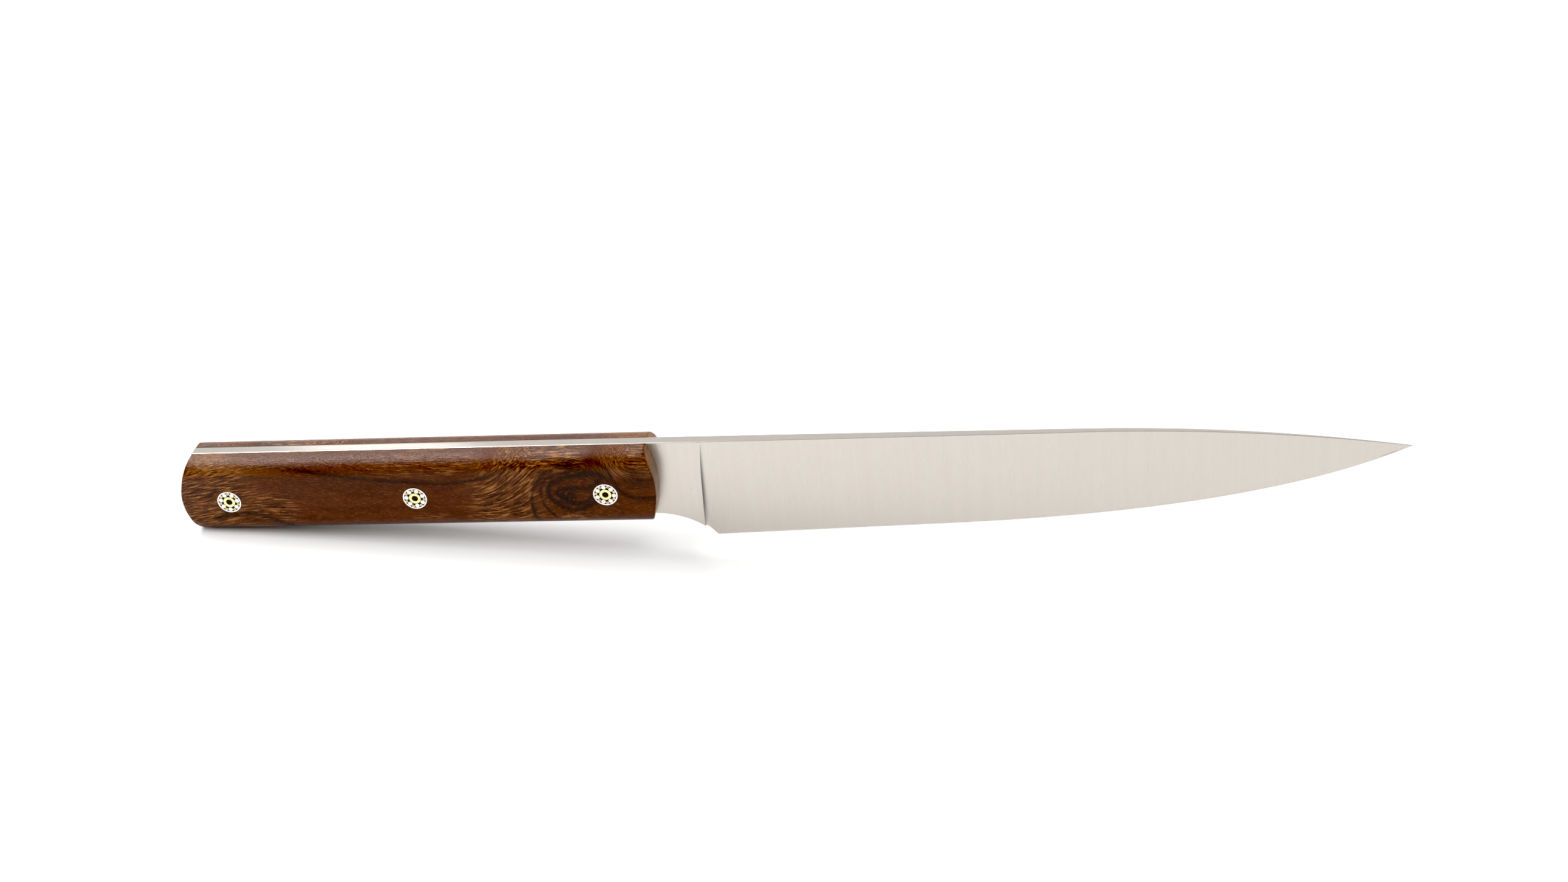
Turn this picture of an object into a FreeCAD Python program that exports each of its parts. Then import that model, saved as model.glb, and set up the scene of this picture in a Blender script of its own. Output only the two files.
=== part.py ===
import FreeCAD, Part
import math
import os

# Full-tang boning knife, millimetres.
# Origin: centre of the middle handle pin, on the knife's middle plane.
# +X runs along the spine towards the tip, +Z is up towards the spine, +Y is the knife's left side.

V = FreeCAD.Vector

# ---- driving dimensions -------------------------------------------------------------------------

# handle and tang
PIN_PITCH = 47.65            # distance between neighbouring pins
SPINE_Z = 10.9               # height of the straight spine above the pin line
HANDLE_HEIGHT = 20.3         # spine to belly of the handle
TANG_THICKNESS = 2.76
GLUE_THICKNESS = 0.10
SCALE_THICKNESS = 5.5
SCALE_EDGE_RADIUS = 4.2      # rounding of the long outer edges of each scale
BUTT_X = -56.7               # rear end of the handle, at the spine
FRONT_X = 57.9               # front end of the scales, at the spine

# rear end, from the spine down to the belly: leaning out, bulging, then a rounded corner
BUTT_LEAN = 25.0             # degrees from vertical at the spine
BUTT_UPPER_TURN = 9.0
BUTT_BULGE_RADIUS = 13.4
BUTT_BULGE_TURN = 44.7
BUTT_CORNER_RADIUS = 5.7

# front end of the scales, from the belly up to the spine
FRONT_CORNER_RADIUS = 1.1
FRONT_CORNER_TURN = 70.9
FRONT_LOWER_RADIUS = 33.4
FRONT_LOWER_TURN = 16.1
FRONT_UPPER_TURN = 30.0

# blade outline
CHOIL_X = 57.6               # where the belly line starts to curve down to the heel
CHOIL_RADIUS = 20.6
CHOIL_TURN = 36.7
CHOIL_BLEND_RADIUS = 3.0
CHOIL_BLEND_TURN = 15.3
HEEL_X = 72.7
EDGE_SLOPE = 2.05            # degrees, the straight cutting edge rises towards the tip
EDGE_STRAIGHT_END_X = 130.6
TIP_X = 237.6
TIP_Z = 4.7
TIP_EDGE_ANGLE = 26.5        # degrees, the cutting edge at the tip
SPINE_CURVE_X = 163.2        # where the spine starts to drop

# blade grind
PLUNGE_X = 71.6              # foot of the plunge, at the spine
PLUNGE_LEAN = 1.0            # degrees, the plunge leans back towards the handle
PLUNGE_RADIUS = 1.3
GRIND_STEP = 0.03            # the grind already takes this much off each side at the spine
TAPER_POWER = 1.5
TIP_HALF_THICKNESS = 0.10
TIP_BLUNT = 0.12             # the sharp point is worn back by this much
SHOULDER_HALF_THICKNESS = 0.14
BEVEL_HEIGHT = 0.5           # the honed bevel along the cutting edge
BEVEL_SHARE = 1 / 3          # near the tip the bevel is at most this share of the blade's height
SECTION_COUNT = 13
SECTION_CROWDING = 1.7       # the sections of the blade crowd towards the tip by this power

# mosaic pins
PIN_RADIUS = 3.0
GLUE_SLEEVE = 0.12           # wall of the glue sleeve round each pin
OUTER_TUBE_BORE = 2.7
STRAND_COUNT = 7             # silver rods, and as many small brass tubes between them
ROD_RADIUS = 0.55
ROD_CIRCLE = 2.10
SMALL_TUBE_RADIUS = 0.32
SMALL_TUBE_BORE = 0.14
SMALL_TUBE_CIRCLE = 2.33
CENTRE_TUBE_RADIUS = 1.46
CENTRE_TUBE_BORE = 0.80
PINS = {                     # name: (position along X, turn of the pin's pattern in degrees)
    "rear_pin": (-PIN_PITCH, 9.4),
    "middle_pin": (0.0, 19.5),
    "front_pin": (PIN_PITCH, -7.5),
}

# ---- derived dimensions -------------------------------------------------------------------------

BELLY_Z = SPINE_Z - HANDLE_HEIGHT
TANG_HALF = TANG_THICKNESS / 2
SCALE_INNER_Y = TANG_HALF + GLUE_THICKNESS
HANDLE_HALF = SCALE_INNER_Y + SCALE_THICKNESS
PIN_HOLE_RADIUS = PIN_RADIUS + GLUE_SLEEVE
CLEAR = 5.0                  # how far cutting solids run past what they cut


# ---- outlines in the XZ plane -------------------------------------------------------------------

class Outline:
    """A chain of tangent arcs and straight lines in the XZ plane, drawn point by point."""

    def __init__(self, x, z, heading):
        self.x = x
        self.z = z
        self.heading = math.radians(heading)
        self.edges = []

    def point(self):
        return V(self.x, 0, self.z)

    def line_to(self, x, z):
        start = self.point()
        self.x = x
        self.z = z
        self.edges.append(Part.makeLine(start, self.point()))

    def forward_to_x(self, x):
        self.line_to(x, self.z + (x - self.x) * math.tan(self.heading))

    def place_on_arc(self, radius, turn):
        """The end of an arc that turns by `turn` radians, positive anticlockwise seen from -Y."""
        side = math.copysign(radius, turn)
        end = self.heading + turn
        x = self.x + side * (math.sin(end) - math.sin(self.heading))
        z = self.z + side * (math.cos(self.heading) - math.cos(end))
        return V(x, 0, z)

    def arc(self, radius, turn_degrees):
        turn = math.radians(turn_degrees)
        start = self.point()
        middle = self.place_on_arc(radius, turn / 2)
        end = self.place_on_arc(radius, turn)
        self.edges.append(Part.Arc(start, middle, end).toShape())
        self.x = end.x
        self.z = end.z
        self.heading += turn


def arc_height(radius, heading_degrees, turn_degrees):
    """How far up an arc climbs from a heading, through a turn."""
    start = math.radians(heading_degrees)
    end = math.radians(heading_degrees + turn_degrees)
    return radius * (math.cos(start) - math.cos(end))


def draw_butt(outline):
    """From the spine corner down round the rear end to the belly line."""
    lean = -90 - BUTT_LEAN
    bulge_heading = lean + BUTT_UPPER_TURN
    corner_heading = bulge_heading + BUTT_BULGE_TURN
    bulge_drop = -arc_height(BUTT_BULGE_RADIUS, bulge_heading, BUTT_BULGE_TURN)
    corner_drop = -arc_height(BUTT_CORNER_RADIUS, corner_heading, -corner_heading)
    upper_drop = HANDLE_HEIGHT - bulge_drop - corner_drop
    upper_radius = -upper_drop / arc_height(1.0, lean, BUTT_UPPER_TURN)
    outline.arc(upper_radius, BUTT_UPPER_TURN)
    outline.arc(BUTT_BULGE_RADIUS, BUTT_BULGE_TURN)
    outline.arc(BUTT_CORNER_RADIUS, -corner_heading)


def scale_outline():
    """Side view of the handle scales: butt, belly, rounded front end and spine."""
    outline = Outline(BUTT_X, SPINE_Z, -90 - BUTT_LEAN)
    draw_butt(outline)
    front = Outline(0, BELLY_Z, 0)
    lower_heading = FRONT_CORNER_TURN
    upper_heading = lower_heading + FRONT_LOWER_TURN
    corner_rise = arc_height(FRONT_CORNER_RADIUS, 0, FRONT_CORNER_TURN)
    lower_rise = arc_height(FRONT_LOWER_RADIUS, lower_heading, FRONT_LOWER_TURN)
    upper_rise = HANDLE_HEIGHT - corner_rise - lower_rise
    upper_radius = upper_rise / arc_height(1.0, upper_heading, FRONT_UPPER_TURN)
    steps = [
        (FRONT_CORNER_RADIUS, FRONT_CORNER_TURN),
        (FRONT_LOWER_RADIUS, FRONT_LOWER_TURN),
        (upper_radius, FRONT_UPPER_TURN),
    ]
    for radius, turn in steps:
        front.arc(radius, turn)
    outline.forward_to_x(FRONT_X - front.x)
    for radius, turn in steps:
        outline.arc(radius, turn)
    outline.line_to(BUTT_X, SPINE_Z)
    return Part.Wire(outline.edges)


def prism(wire, y_low, y_high):
    """The solid between two heights along Y whose side view is the wire."""
    face = Part.Face(wire)
    face.translate(V(0, y_low, 0))
    return face.extrude(V(0, y_high - y_low, 0))


def bar_across(x, z, radius, reach=HANDLE_HALF):
    """A round bar along Y that reaches equally far on both sides of the middle plane."""
    return Part.makeCylinder(radius, 2 * reach, V(x, -reach, z), V(0, 1, 0))


def drill_pin_holes(solid):
    reach = HANDLE_HALF + CLEAR
    bars = [bar_across(x, 0, PIN_HOLE_RADIUS, reach) for x, turn in PINS.values()]
    return solid.cut(Part.makeCompound(bars))


# ---- blade --------------------------------------------------------------------------------------

def spine_z(x):
    """Height of the spine: level, then one long arc down to the tip."""
    if x <= SPINE_CURVE_X:
        return SPINE_Z
    run = TIP_X - SPINE_CURVE_X
    drop = SPINE_Z - TIP_Z
    radius = (run ** 2 + drop ** 2) / (2 * drop)
    return SPINE_Z - radius + math.sqrt(radius ** 2 - (x - SPINE_CURVE_X) ** 2)


def heel_z():
    """Height of the heel corner, where the choil meets the cutting edge."""
    return choil_curve().z


def choil_curve():
    """From the belly line of the handle down to the heel corner."""
    outline = Outline(CHOIL_X, BELLY_Z, 0)
    outline.arc(CHOIL_RADIUS, -CHOIL_TURN)
    outline.arc(CHOIL_BLEND_RADIUS, -CHOIL_BLEND_TURN)
    outline.forward_to_x(HEEL_X)
    return outline


def edge_z(x):
    """Height of the cutting edge: straight from the heel, then a parabola that sweeps up to the tip."""
    slope = math.tan(math.radians(EDGE_SLOPE))
    straight = heel_z() + (x - HEEL_X) * slope
    if x <= EDGE_STRAIGHT_END_X:
        return straight
    start_z = heel_z() + (EDGE_STRAIGHT_END_X - HEEL_X) * slope
    tip_slope = math.tan(math.radians(TIP_EDGE_ANGLE))
    run = TIP_X - EDGE_STRAIGHT_END_X
    knee_x = (start_z - TIP_Z + tip_slope * run) / (tip_slope - slope)
    # Bezier parameter t of the point above x, from x = 2 t (1 - t) knee_x + t^2 run
    a = run - 2 * knee_x
    t = (-knee_x + math.sqrt(knee_x ** 2 + a * (x - EDGE_STRAIGHT_END_X))) / a
    knee_z = start_z + slope * knee_x
    return (1 - t) ** 2 * start_z + 2 * t * (1 - t) * knee_z + t ** 2 * TIP_Z


def spine_half_thickness(x):
    """Half the spine's thickness, which falls slowly at first and faster towards the tip."""
    u = (x - PLUNGE_X) / (TIP_X - PLUNGE_X)
    full = TANG_HALF - GRIND_STEP
    return TIP_HALF_THICKNESS + (full - TIP_HALF_THICKNESS) * (1 - max(u, 0.0) ** TAPER_POWER)


def plunge_x(z):
    return PLUNGE_X - (SPINE_Z - z) * math.tan(math.radians(PLUNGE_LEAN))


def blade_corners(x):
    """The five corners of the wedge across the blade, round from one spine edge to the other."""
    top = spine_z(x)
    bottom = edge_z(x)
    bevel_top = bottom + min(BEVEL_HEIGHT, (top - bottom) * BEVEL_SHARE)
    half = spine_half_thickness(x)
    shoulder = min(SHOULDER_HALF_THICKNESS, half)
    corners = [(-half, top), (-shoulder, bevel_top), (0, bottom), (shoulder, bevel_top), (half, top)]
    at_plunge = x == PLUNGE_X
    return [V(plunge_x(z) if at_plunge else x, y, z) for y, z in corners]


def ground_blade():
    """The ground part of the blade, from the plunge to the tip: ruled faces between five long curves."""
    length = TIP_X - PLUNGE_X
    shares = [(1 - i / SECTION_COUNT) ** SECTION_CROWDING for i in range(SECTION_COUNT)]
    stations = [TIP_X - length * share for share in shares] + [TIP_X - TIP_BLUNT]
    sections = [blade_corners(x) for x in stations]
    curves = []
    for corner in range(len(sections[0])):
        curve = Part.BSplineCurve()
        curve.interpolate(Points=[section[corner] for section in sections], Parameters=stations)
        curves.append(curve.toShape())
    neighbours = curves[1:] + curves[:1]
    faces = [Part.makeRuledSurface(curve, neighbour) for curve, neighbour in zip(curves, neighbours)]
    for section in (sections[0], sections[-1]):
        faces.append(Part.Face(Part.makePolygon(section + section[:1])))
    shell = Part.Shell(faces)
    shell.sewShape()
    return Part.Solid(shell)


def plunge_bar(side):
    """The round bar that hollows one side of the plunge, touching the first wedge section's side line."""
    half = spine_half_thickness(PLUNGE_X)
    low = edge_z(PLUNGE_X) + BEVEL_HEIGHT
    top = V(PLUNGE_X, side * half, SPINE_Z)
    bottom = V(plunge_x(low), side * SHOULDER_HALF_THICKNESS, low)
    along = (bottom - top).normalize()
    plane_normal = (V(plunge_x(low), 0, low) - V(PLUNGE_X, 0, SPINE_Z)).cross(V(0, 1, 0)).normalize()
    outward = along.cross(plane_normal).normalize()
    if outward.y * side < 0:
        outward = outward * -1
    start = top + outward * PLUNGE_RADIUS - along * CLEAR
    return Part.makeCylinder(PLUNGE_RADIUS, (bottom - top).Length + 2 * CLEAR, start, along)


def tang_plate():
    """The full-thickness steel: tang and ricasso, ending in the hollow plunge on both sides."""
    low = edge_z(PLUNGE_X)
    outline = Outline(BUTT_X, SPINE_Z, -90 - BUTT_LEAN)
    draw_butt(outline)
    outline.forward_to_x(CHOIL_X)
    outline.line_to(CHOIL_X, low)
    outline.line_to(plunge_x(low), low)
    outline.line_to(PLUNGE_X, SPINE_Z)
    outline.line_to(BUTT_X, SPINE_Z)
    plate = prism(Part.Wire(outline.edges), -TANG_HALF, TANG_HALF)
    for side in (-1, 1):
        plate = plate.cut(plunge_bar(side))
    return plate


def choil_cutter():
    """Everything below the choil, from the belly line to past the heel."""
    outline = choil_curve()
    past = HEEL_X + CLEAR
    outline.forward_to_x(past)
    floor = outline.z - CLEAR
    outline.line_to(past, floor)
    outline.line_to(CHOIL_X, floor)
    outline.line_to(CHOIL_X, BELLY_Z)
    return prism(Part.Wire(outline.edges), -TANG_THICKNESS, TANG_THICKNESS)


def make_blade():
    steel = tang_plate().fuse(ground_blade())
    steel = steel.cut(choil_cutter())
    return drill_pin_holes(steel).removeSplitter()


# ---- handle scales and glue lines ---------------------------------------------------------------

def scale_bar():
    """A long bar with the right scale's cross-section: flat inside, rounded long edges outside."""
    x = BUTT_X - 2 * CLEAR
    length = FRONT_X - BUTT_X + 4 * CLEAR
    inner = -SCALE_INNER_Y
    outer = -HANDLE_HALF
    arc_y = outer + SCALE_EDGE_RADIUS
    diagonal = SCALE_EDGE_RADIUS * math.sqrt(0.5)
    top_centre_z = SPINE_Z - SCALE_EDGE_RADIUS
    low_centre_z = BELLY_Z + SCALE_EDGE_RADIUS
    top_middle = V(x, arc_y - diagonal, top_centre_z + diagonal)
    low_middle = V(x, arc_y - diagonal, low_centre_z - diagonal)
    top_arc = Part.Arc(V(x, arc_y, SPINE_Z), top_middle, V(x, outer, top_centre_z))
    low_arc = Part.Arc(V(x, outer, low_centre_z), low_middle, V(x, arc_y, BELLY_Z))
    edges = [
        Part.makeLine(V(x, inner, SPINE_Z), V(x, arc_y, SPINE_Z)),
        top_arc.toShape(),
        Part.makeLine(V(x, outer, top_centre_z), V(x, outer, low_centre_z)),
        low_arc.toShape(),
        Part.makeLine(V(x, arc_y, BELLY_Z), V(x, inner, BELLY_Z)),
        Part.makeLine(V(x, inner, BELLY_Z), V(x, inner, SPINE_Z)),
    ]
    return Part.Face(Part.Wire(edges)).extrude(V(length, 0, 0))


def make_right_scale():
    block = prism(scale_outline(), -HANDLE_HALF - CLEAR, -SCALE_INNER_Y)
    return drill_pin_holes(scale_bar().common(block))


def make_right_glue_line():
    return drill_pin_holes(prism(scale_outline(), -SCALE_INNER_Y, -TANG_HALF))


def mirrored(solid):
    """The same piece on the other side of the middle plane."""
    return solid.mirror(V(0, 0, 0), V(0, 1, 0))


# ---- mosaic pins --------------------------------------------------------------------------------

def on_circle(x, circle, turn):
    """Places of the strands round a pin: equally spaced on a circle."""
    places = []
    for i in range(STRAND_COUNT):
        angle = math.radians(turn + 360 * i / STRAND_COUNT)
        places.append((x + circle * math.cos(angle), circle * math.sin(angle)))
    return places


def pin_pieces(x, turn):
    """The separate pieces of one mosaic pin."""
    half_step = 180 / STRAND_COUNT
    rod_places = on_circle(x, ROD_CIRCLE, turn)
    tube_places = on_circle(x, SMALL_TUBE_CIRCLE, turn + half_step)
    rods = [bar_across(px, pz, ROD_RADIUS) for px, pz in rod_places]
    small_bars = [bar_across(px, pz, SMALL_TUBE_RADIUS) for px, pz in tube_places]
    small_cores = [bar_across(px, pz, SMALL_TUBE_BORE) for px, pz in tube_places]
    centre_bar = bar_across(x, 0, CENTRE_TUBE_RADIUS)
    centre_core = bar_across(x, 0, CENTRE_TUBE_BORE)
    filled = bar_across(x, 0, OUTER_TUBE_BORE).cut(Part.makeCompound(rods + small_bars + [centre_bar]))
    return {
        "outer_tube": bar_across(x, 0, PIN_RADIUS).cut(bar_across(x, 0, OUTER_TUBE_BORE)),
        "rods": Part.makeCompound(rods),
        "small_tubes": Part.makeCompound([bar.cut(core) for bar, core in zip(small_bars, small_cores)]),
        "centre_tube": centre_bar.cut(centre_core),
        "resin": Part.makeCompound(filled.Solids + [centre_core] + small_cores),
        "glue": bar_across(x, 0, PIN_HOLE_RADIUS).cut(bar_across(x, 0, PIN_RADIUS)),
    }


# ---- whole knife --------------------------------------------------------------------------------

def make_nodes():
    right_scale = make_right_scale()
    right_glue_line = make_right_glue_line()
    nodes = {
        "blade": make_blade(),
        "right_scale": right_scale,
        "left_scale": mirrored(right_scale),
        "right_glue_line": right_glue_line,
        "left_glue_line": mirrored(right_glue_line),
    }
    for pin, (x, turn) in PINS.items():
        for piece, solid in pin_pieces(x, turn).items():
            nodes[pin + "_" + piece] = solid
    return nodes


os.makedirs("parts", exist_ok=True)
for node, shape in make_nodes().items():
    shape.exportStep(os.path.join("parts", node + ".step"))
    box = shape.BoundBox
    print(node, "valid", shape.isValid(), "solids", len(shape.Solids), "volume", round(shape.Volume, 2),
          "box", round(box.XMin, 2), round(box.XMax, 2), round(box.YMin, 2), round(box.YMax, 2),
          round(box.ZMin, 2), round(box.ZMax, 2))
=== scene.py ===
import math

import bmesh
import bpy
import numpy as np
from mathutils import Matrix, Vector


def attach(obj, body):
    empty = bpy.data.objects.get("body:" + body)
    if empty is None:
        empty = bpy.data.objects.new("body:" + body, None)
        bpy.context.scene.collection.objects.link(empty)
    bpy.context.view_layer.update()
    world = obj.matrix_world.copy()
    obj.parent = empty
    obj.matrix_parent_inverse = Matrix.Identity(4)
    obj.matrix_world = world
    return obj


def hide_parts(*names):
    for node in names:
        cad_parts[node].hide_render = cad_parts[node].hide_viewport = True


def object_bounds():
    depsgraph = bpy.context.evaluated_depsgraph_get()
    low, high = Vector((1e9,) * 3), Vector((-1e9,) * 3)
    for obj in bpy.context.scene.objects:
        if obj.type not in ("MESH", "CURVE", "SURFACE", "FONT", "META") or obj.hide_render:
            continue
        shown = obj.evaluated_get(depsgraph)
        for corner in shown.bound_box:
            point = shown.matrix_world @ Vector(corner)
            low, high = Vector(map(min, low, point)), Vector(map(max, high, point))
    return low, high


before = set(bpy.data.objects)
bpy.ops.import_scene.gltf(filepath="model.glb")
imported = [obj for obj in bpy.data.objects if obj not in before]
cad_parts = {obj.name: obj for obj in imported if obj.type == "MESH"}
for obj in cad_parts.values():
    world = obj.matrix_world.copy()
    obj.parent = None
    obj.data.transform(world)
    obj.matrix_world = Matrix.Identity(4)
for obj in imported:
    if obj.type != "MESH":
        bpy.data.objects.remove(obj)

CAD_LOW, CAD_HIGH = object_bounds()
MM = 0.001

# ---- dimensions in millimetres, the same as the CAD source ---------------------------------------

PIN_PITCH = 47.65
PIN_HOLE_RADIUS = 3.12
SPINE_Z = 10.9
BELLY_Z = -9.4
TANG_HALF = 1.38
GLUE_THICKNESS = 0.10
SCALE_INNER = TANG_HALF + GLUE_THICKNESS
SCALE_THICKNESS = 5.5
HANDLE_HALF = SCALE_INNER + SCALE_THICKNESS
SCALE_EDGE_RADIUS = 4.2
BUTT_X = -56.7
FRONT_X = 57.9

BUTT_LEAN = 25.0
BUTT_UPPER_TURN = 9.0
BUTT_BULGE = (13.4, 44.7)          # radius, turn in degrees
BUTT_CORNER_RADIUS = 5.7
FRONT_CORNER = (1.1, 70.9)
FRONT_LOWER = (33.4, 16.1)
FRONT_UPPER_TURN = 30.0

CHOIL_X = 57.6
CHOIL_ARCS = [(20.6, -36.7), (3.0, -15.3)]
HEEL_X = 72.7
EDGE_SLOPE = math.tan(math.radians(2.05))
EDGE_STRAIGHT_END_X = 130.6
TIP_X = 237.6
TIP_Z = 4.7
TIP_SLOPE = math.tan(math.radians(26.5))
SPINE_CURVE_X = 163.2
TIP_BLUNT = 0.12

PLUNGE_X = 71.6
PLUNGE_LEAN = math.tan(math.radians(1.0))
PLUNGE_RADIUS = 1.3
GRIND_STEP = 0.03
TAPER_POWER = 1.5
TIP_HALF = 0.10
SHOULDER_HALF = 0.14
BEVEL_HEIGHT = 0.5
BEVEL_PART = 3                     # the bevel is at most a third of the blade's height

# ---- values of this script alone, in millimetres --------------------------------------------------

STEEL_ROUNDING = 0.10              # the steel's rims are eased by this radius
WOOD_ROUNDING = 0.40               # and the ends of the scales by this one
ROUND_STEPS = [0, 0.08, 0.3, 0.62, 1.0]   # where the rows of a rounding lie, as shares of its radius
HOLE_SIDES = 96                    # flats round each pin hole
THIN_EDGE = 0.3                    # a lower rim with less than this half thickness stays sharp
CREASE = math.radians(42)          # edges that turn more than this are drawn sharp
ON_LINE = 0.004                    # a vertex this near to a line lies on it

# ---- and in metres --------------------------------------------------------------------------------

FLOOR_TILT = 5.48                  # degrees between the table and the straight part of the spine
FLOOR_GAP = 0.00002
FLOOR_SIZE = 12
BOX_INSET = 1e-7                   # keeps every point inside the box of the CAD part


# ---- outlines -------------------------------------------------------------------------------------

def arc_chain(x, z, heading, arcs, steps=40):
    """Points along a chain of tangent arcs, each (radius, turn in degrees); a positive turn goes left."""
    heading = math.radians(heading)
    points = [(x, z)]
    for radius, turn in arcs:
        turn = math.radians(turn)
        side = math.copysign(radius, turn)
        start_x, start_z = points[-1]
        for i in range(1, steps + 1):
            end = heading + turn * i / steps
            points.append((start_x + side * (math.sin(end) - math.sin(heading)),
                           start_z + side * (math.cos(heading) - math.cos(end))))
        heading += turn
    return np.array(points), heading


def climb(heading, turn):
    """Height gained along an arc of radius 1."""
    return math.cos(math.radians(heading)) - math.cos(math.radians(heading + turn))


def butt_curve():
    lean = -90 - BUTT_LEAN
    bulge_heading = lean + BUTT_UPPER_TURN
    corner_heading = bulge_heading + BUTT_BULGE[1]
    lower = BUTT_BULGE[0] * climb(bulge_heading, BUTT_BULGE[1])
    lower += BUTT_CORNER_RADIUS * climb(corner_heading, -corner_heading)
    upper_radius = (BELLY_Z - SPINE_Z - lower) / climb(lean, BUTT_UPPER_TURN)
    arcs = [(upper_radius, BUTT_UPPER_TURN), BUTT_BULGE, (BUTT_CORNER_RADIUS, -corner_heading)]
    return arc_chain(BUTT_X, SPINE_Z, lean, arcs)[0]


def front_curve():
    lower_heading = FRONT_CORNER[1]
    upper_heading = lower_heading + FRONT_LOWER[1]
    lower = FRONT_CORNER[0] * climb(0, FRONT_CORNER[1])
    lower += FRONT_LOWER[0] * climb(lower_heading, FRONT_LOWER[1])
    upper_radius = (SPINE_Z - BELLY_Z - lower) / climb(upper_heading, FRONT_UPPER_TURN)
    arcs = [FRONT_CORNER, FRONT_LOWER, (upper_radius, FRONT_UPPER_TURN)]
    points = arc_chain(0, BELLY_Z, 0, arcs)[0]
    points[:, 0] += FRONT_X - points[-1, 0]
    return points


def choil_curve():
    points, heading = arc_chain(CHOIL_X, BELLY_Z, 0, CHOIL_ARCS)
    x, z = points[-1]
    return np.vstack([points, (HEEL_X, z + (HEEL_X - x) * math.tan(heading))])


BUTT = butt_curve()[::-1]
FRONT = front_curve()
CHOIL = choil_curve()
HEEL_Z = CHOIL[-1, 1]


def butt_x(z):
    return np.interp(z, BUTT[:, 1], BUTT[:, 0])


def front_x(z):
    return np.interp(z, FRONT[:, 1], FRONT[:, 0])


def spine_z(x):
    run = TIP_X - SPINE_CURVE_X
    drop = SPINE_Z - TIP_Z
    radius = (run ** 2 + drop ** 2) / (2 * drop)
    past = np.maximum(x - SPINE_CURVE_X, 0)
    return SPINE_Z - radius + np.sqrt(radius ** 2 - past ** 2)


def edge_z(x):
    """The cutting edge: straight, then a parabola up to the tip."""
    straight = HEEL_Z + (x - HEEL_X) * EDGE_SLOPE
    start_z = HEEL_Z + (EDGE_STRAIGHT_END_X - HEEL_X) * EDGE_SLOPE
    run = TIP_X - EDGE_STRAIGHT_END_X
    knee_x = (start_z - TIP_Z + TIP_SLOPE * run) / (TIP_SLOPE - EDGE_SLOPE)
    a = run - 2 * knee_x
    past = np.clip(x - EDGE_STRAIGHT_END_X, 0, run)
    t = (-knee_x + np.sqrt(knee_x ** 2 + a * past)) / a
    knee_z = start_z + EDGE_SLOPE * knee_x
    curved = (1 - t) ** 2 * start_z + 2 * t * (1 - t) * knee_z + t ** 2 * TIP_Z
    return np.where(x <= EDGE_STRAIGHT_END_X, straight, curved)


def bottom_z(x):
    choil = np.interp(x, CHOIL[:, 0], CHOIL[:, 1])
    return np.where(x <= CHOIL_X, BELLY_Z, np.where(x < HEEL_X, choil, edge_z(x)))


def wedge_half(x, z):
    """Half the thickness of the ground blade."""
    u = np.clip((x - PLUNGE_X) / (TIP_X - PLUNGE_X), 0, 1)
    full = TANG_HALF - GRIND_STEP
    at_spine = TIP_HALF + (full - TIP_HALF) * (1 - u ** TAPER_POWER)
    shoulder = np.minimum(SHOULDER_HALF, at_spine)
    top = spine_z(x)
    bottom = edge_z(x)
    bevel = np.minimum(BEVEL_HEIGHT, (top - bottom) / BEVEL_PART)
    share = np.clip((z - bottom - bevel) / (top - bottom - bevel), 0, 1)
    above = shoulder + (at_spine - shoulder) * share
    return np.where(z < bottom + bevel, shoulder * np.clip((z - bottom) / bevel, 0, 1), above)


def plunge_foot_x(z):
    return PLUNGE_X - (SPINE_Z - z) * PLUNGE_LEAN


def plunge_edge_x(z):
    """The crisp line where the flat ricasso breaks into the hollow of the plunge."""
    foot = plunge_foot_x(z)
    depth = TANG_HALF - wedge_half(foot, z)
    return foot - np.sqrt(PLUNGE_RADIUS ** 2 - (PLUNGE_RADIUS - depth) ** 2)


def steel_half(x, z):
    foot = plunge_foot_x(z)
    back = np.clip(foot - x, 0, PLUNGE_RADIUS)
    hollow = wedge_half(foot, z) + PLUNGE_RADIUS - np.sqrt(PLUNGE_RADIUS ** 2 - back ** 2)
    return np.where(x >= foot, wedge_half(x, z), np.minimum(TANG_HALF, hollow))


# ---- meshes ---------------------------------------------------------------------------------------

def build_mesh(name, patches, merge=0.0005):
    """One object from grids of points in millimetres; grids that share a border are welded along it."""
    vertices = []
    faces = []
    for points, flip in patches:
        rows, columns = points.shape[:2]
        start = sum(len(v) for v in vertices)
        vertices.append(points.reshape(-1, 3))
        index = start + np.arange(rows * columns).reshape(rows, columns)
        quads = np.stack([index[:-1, :-1], index[1:, :-1], index[1:, 1:], index[:-1, 1:]], -1)
        quads = quads.reshape(-1, 4)
        faces.append(quads[:, ::-1] if flip else quads)
    mesh = bpy.data.meshes.new(name)
    places = np.clip(np.vstack(vertices) * MM,
                     np.array(CAD_LOW) + BOX_INSET, np.array(CAD_HIGH) - BOX_INSET)
    mesh.from_pydata(places.tolist(), [], np.vstack(faces).tolist())
    weld(mesh, merge * MM)
    piece = bpy.data.objects.new(name, mesh)
    bpy.context.scene.collection.objects.link(piece)
    return piece


def weld(mesh, distance):
    bm = bmesh.new()
    bm.from_mesh(mesh)
    bmesh.ops.remove_doubles(bm, verts=bm.verts, dist=distance)
    bmesh.ops.dissolve_degenerate(bm, edges=bm.edges, dist=distance)
    bmesh.ops.recalc_face_normals(bm, faces=bm.faces)
    bm.to_mesh(mesh)
    bm.free()


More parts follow.
